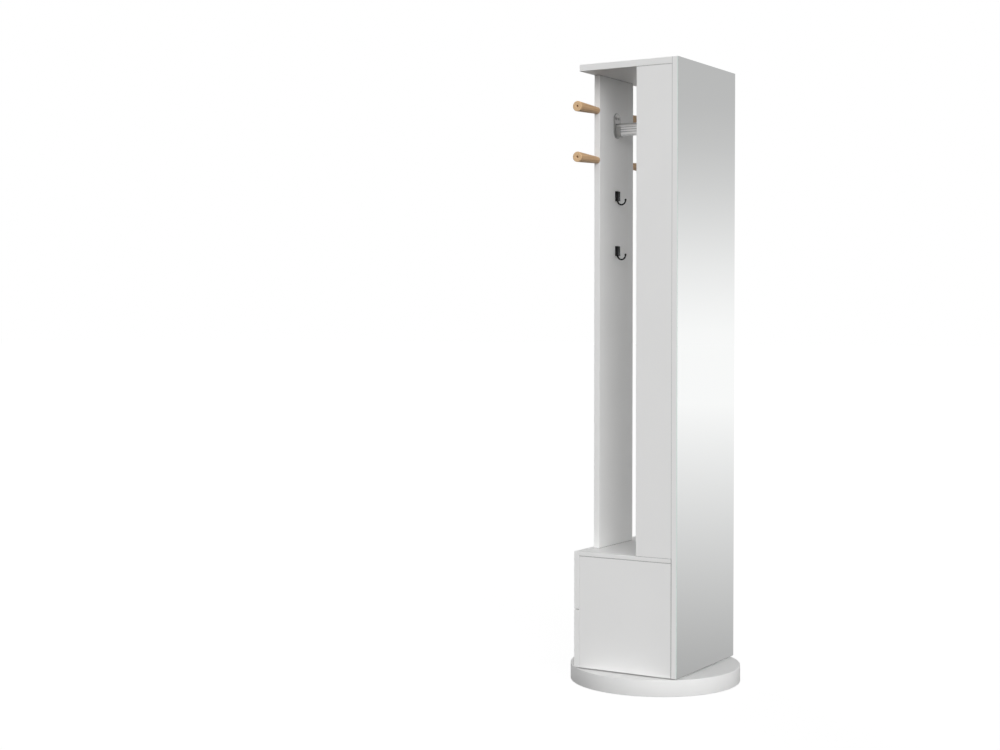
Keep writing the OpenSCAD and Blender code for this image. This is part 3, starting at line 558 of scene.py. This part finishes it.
# The hanging rail
# An extruded aluminium tube, oblong and upright, with three fine grooves along each broad side, drawn through a die
# and anodised satin, with painted shade darkening its grooves, which are also rougher. It drops into a zinc socket at
# each end.
def anodised(start):
    """Satin anodised aluminium with the long lines of the die, and painted shade in its grooves."""
    place = start.node("TexCoord", output="Object")
    lines = noise(stretched(place, (2500, 6, 2500)), 1, 3, 0.7)
    inward = rail_half - abs(place.axis("X"))
    flank = abs(place.axis("Z") - rail_middle) < GROOVED
    shaded_groove = flank * (inward > GROOVE_LIP)
    bright = mix(lines, (0.84, 0.84, 0.845, 1), (0.95, 0.95, 0.95, 1))
    return {
        # Painted shade: the grooves' colour is darkened, and they are also made rougher
        "Base Color": mix(shaded_groove, bright, (0.42, 0.42, 0.425, 1)),
        "Metallic": 1.0,
        "Roughness": 0.3 + 0.14 * lines + 0.2 * shaded_groove,
        "Anisotropic": 0.4,
        "Normal": bump(lines, 0.00004, 0.5),
    }


def cast_zinc(start):
    """Die-cast zinc with a satin nickel coat."""
    place = start.node("TexCoord", output="Object")
    skin = noise(place, 900, 3, 0.6)
    return {
        "Base Color": mix(skin, (0.42, 0.42, 0.415, 1), (0.55, 0.545, 0.535, 1)),
        "Metallic": 1.0,
        "Roughness": 0.3 + 0.12 * skin,
        "Normal": bump(skin, 0.00004, 0.5),
    }


# Half the height of the grooved part of the rail, and how deep below its side a groove begins
GROOVED, GROOVE_LIP = 0.009, 0.0002
rail_low, rail_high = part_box("hanging_rail")
rail_half, rail_middle = (rail_high.x - rail_low.x) / 2, (rail_high.z + rail_low.z) / 2
dress("hanging_rail", surface("satin_anodised", anodised))
satin_nickel = surface("satin_nickel", cast_zinc)
for name in ("rail_socket_front", "rail_socket_rear", "rail_socket_screws"):
    dress(name, satin_nickel)


# The coat hooks
# Each is a thick cast plate with a bent steel wire set into it, all in black enamel, and is fixed by two small sunk
# screws. The wire drops, bends forward and up, and ends in a round tip that spares the cloth.
def enamel(start):
    """Glossy black enamel, a little orange-peeled."""
    place = start.node("TexCoord", output="Object")
    peel = noise(place, 700, 2)
    return {
        "Base Color": mix(peel, (0.004, 0.004, 0.005, 1), (0.01, 0.01, 0.011, 1)),
        "Roughness": 0.2 + 0.08 * peel,
        "Specular IOR Level": 0.2,
        "Normal": bump(peel, 0.00005, 0.4),
    }


black_enamel = surface("black_enamel", enamel)
hook_low, hook_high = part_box("coat_hook_upper")
plate_w, plate_h, plate_t = hook_high.x - hook_low.x, 0.029, 0.008
plate_round, plate_arris = 0.003, 0.0004
wire_r, bend_r, tip_r, tip_rise, grip, leg_depth = 0.0023, 0.0133, 0.0033, 0.001, 0.0058, 0.00322
plate_y, leg_y = hook_high.y - plate_t / 2, hook_high.y - leg_depth
bend_z = hook_low.z + bend_r + wire_r
bpy.ops.mesh.primitive_cube_add(size=1, location=(0, plate_y, hook_high.z - plate_h / 2))
bpy.context.object.scale = (plate_w, plate_t, plate_h)
plate = settle()
start_edit(plate)
pick(plate, edges=lambda a, b: max(a.y, b.y) < plate_y and abs(a.z - b.z) > plate_h / 2)
bpy.ops.mesh.bevel(offset=plate_round, segments=8, affect="EDGES")
bpy.ops.object.mode_set(mode="OBJECT")
arrised = plate.modifiers.new("arris", "BEVEL")
arrised.width, arrised.segments, arrised.limit_method, arrised.angle_limit = plate_arris, 2, "ANGLE", 1
bpy.ops.object.modifier_apply(modifier=arrised.name)
bpy.ops.mesh.primitive_circle_add(vertices=24, radius=wire_r, fill_type="NGON", location=(0, leg_y, bend_z + grip))
wire = settle()
start_edit(wire, "FACE")
bpy.ops.mesh.select_all(action="SELECT")
bpy.ops.mesh.extrude_region_move(TRANSFORM_OT_translate={"value": (0, 0, -grip)})
bpy.ops.mesh.spin(steps=28, angle=math.pi, center=(0, leg_y - bend_r, bend_z), axis=(1, 0, 0))
bpy.ops.mesh.extrude_region_move(TRANSFORM_OT_translate={"value": (0, 0, tip_rise)})
bpy.ops.mesh.select_all(action="SELECT")
bpy.ops.mesh.normals_make_consistent(inside=False)
bpy.ops.object.mode_set(mode="OBJECT")
bpy.ops.mesh.primitive_uv_sphere_add(segments=32, ring_count=18, radius=tip_r,
                                     location=(0, leg_y - 2 * bend_r, bend_z + tip_rise))
tip = settle()
join([plate, wire, tip])
complete(plate, "enamelled_hook_upper", black_enamel, 40)
lower_plate = plate.copy()
lower_plate.data = plate.data.copy()
lower_plate.name = "enamelled_hook_lower"
scene.collection.objects.link(lower_plate)
lower_plate.data.transform(Matrix.Translation((0, 0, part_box("coat_hook_lower")[0].z - hook_low.z)))
for piece, name in ((plate, "coat_hook_upper"), (lower_plate, "coat_hook_lower")):
    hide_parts(name)
    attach(piece, "cabinet")
dress("hook_screws", black_enamel)


# The drawers' slides
# Each side of each drawer runs on three nested channels of zinc-plated sheet: one on the box, one on the drawer, and
# one between them that comes out half as far.
for level in ("upper", "lower"):
    for member in ("outer", "middle", "inner"):
        dress("slide_" + member + "_" + level, zinc_plate)
dress("slide_outer_screws", bright_steel)


# The stops of the drawers
# Four soft clear buttons are stuck to the back of each drawer front, where it meets the edges of the box, and keep
# the closed front half a millimetre off them.
def silicone(start):
    """Clear soft silicone with a slight haze."""
    place = start.node("TexCoord", output="Object")
    haze = noise(place, 500, 2)
    return {
        "Base Color": mix(haze, (0.8, 0.82, 0.82, 1), (0.9, 0.91, 0.91, 1)),
        "Roughness": 0.15 + 0.1 * haze,
        "Transmission Weight": 0.6,
        "IOR": 1.42,
    }


clear_silicone = surface("clear_silicone", silicone)
button_r, button_inset_x, button_inset_z, button_drop, button_room = 0.0038, 0.0085, 0.018, 0.012, 0.0001
carcass_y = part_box("box_side_left")[1].y
for level in ("upper", "lower"):
    low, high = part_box("drawer_front_" + level)
    buttons = []
    for x in (low.x + button_inset_x, high.x - button_inset_x):
        for z in (low.z + button_inset_z, high.z - button_inset_z - button_drop):
            bpy.ops.mesh.primitive_uv_sphere_add(segments=24, ring_count=12, radius=1, location=(x, low.y, z))
            bpy.context.object.scale = (button_r, low.y - carcass_y - button_room, button_r)
            button = settle()
            start_edit(button)
            bpy.ops.mesh.select_all(action="SELECT")
            bpy.ops.mesh.bisect(plane_co=(0, low.y, 0), plane_no=(0, 1, 0), use_fill=True, clear_outer=True)
            bpy.ops.object.mode_set(mode="OBJECT")
            buttons.append(button)
    join(buttons)
    complete(buttons[0], "drawer_stops_" + level, clear_silicone, 50)
    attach(buttons[0], "drawer_" + level)


# The fittings
# The boards are drawn together by zinc cams, each turned with a screwdriver on the hidden or inner face, and steel
# bolts that run into them. Plain steel screws hold the drawers' backs and slides.
dress("cam_locks", satin_nickel)
dress("cam_bolts", bright_steel)
for level in ("upper", "lower"):
    dress("drawer_cams_" + level, satin_nickel)
    dress("drawer_bolts_" + level, bright_steel)
    dress("drawer_screws_" + level, bright_steel)
